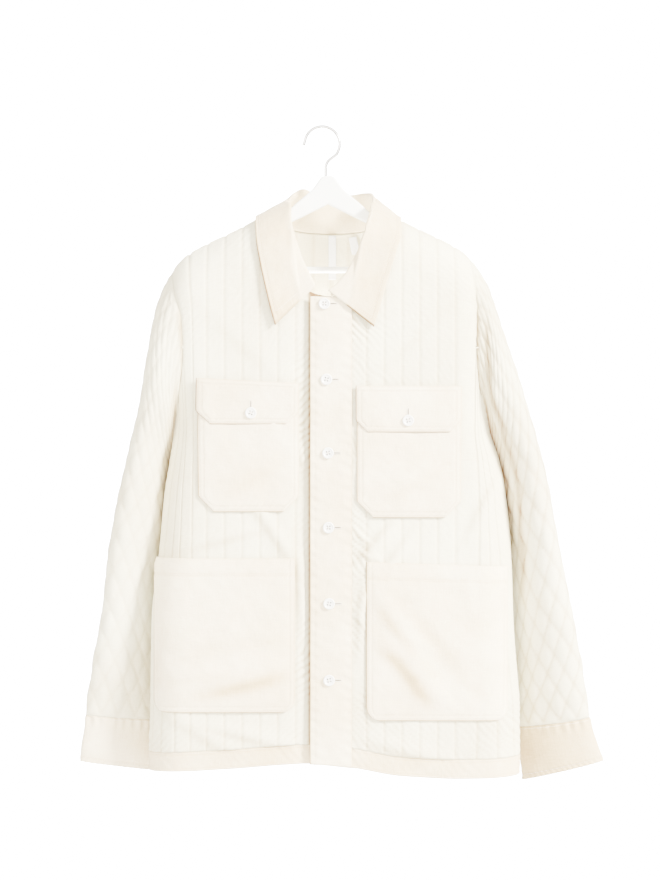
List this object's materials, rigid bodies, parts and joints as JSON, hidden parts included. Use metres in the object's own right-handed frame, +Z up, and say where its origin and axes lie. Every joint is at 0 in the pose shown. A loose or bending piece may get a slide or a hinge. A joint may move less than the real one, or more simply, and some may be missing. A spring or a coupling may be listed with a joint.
{
  "type": "quilted jacket on a hanger",
  "caption": "Quilted cotton work jacket with shirt collar, patch pockets and button band, buttoned up on a flat hanger with a wire hook.",
  "frame": {"origin": "inner top of the hanger's hook, where a rail or a peg carries it", "axes": "+Z up, -Y out of the jacket's front, +X to the right as seen from the front"},
  "size_m": [0.72, 0.1512, 0.901],
  "materials": {
    "quilted_cotton": "quilted, matt",
    "plain_cotton": "plain weave, matt",
    "button": "satin",
    "tape": "plain weave, matt",
    "hanger_paint": "satin",
    "hook_wire": "polished"
  },
  "bodies": {
    "root": {"back": "quilted_cotton", "front_left": "quilted_cotton", "front_right": "quilted_cotton", "sleeve_left": "quilted_cotton", "sleeve_right": "quilted_cotton", "cuff_left": "plain_cotton", "cuff_right": "plain_cotton", "hem_back": "plain_cotton", "hem_left": "plain_cotton", "hem_right": "plain_cotton", "chest_pocket_left": "plain_cotton", "chest_pocket_right": "plain_cotton", "flap_left": "plain_cotton", "flap_right": "plain_cotton", "hand_pocket_left": "plain_cotton", "hand_pocket_right": "plain_cotton", "placket": "plain_cotton", "collar": "plain_cotton", "button_1": "button", "button_2": "button", "button_3": "button", "button_4": "button", "button_5": "button", "button_6": "button", "flap_button_left": "button", "flap_button_right": "button", "hang_tape": "tape", "care_label": "tape", "hanger_arms": "hanger_paint", "hanger_bar": "hanger_paint", "hanger_hook": "hook_wire"}
  },
  "joints": []
}
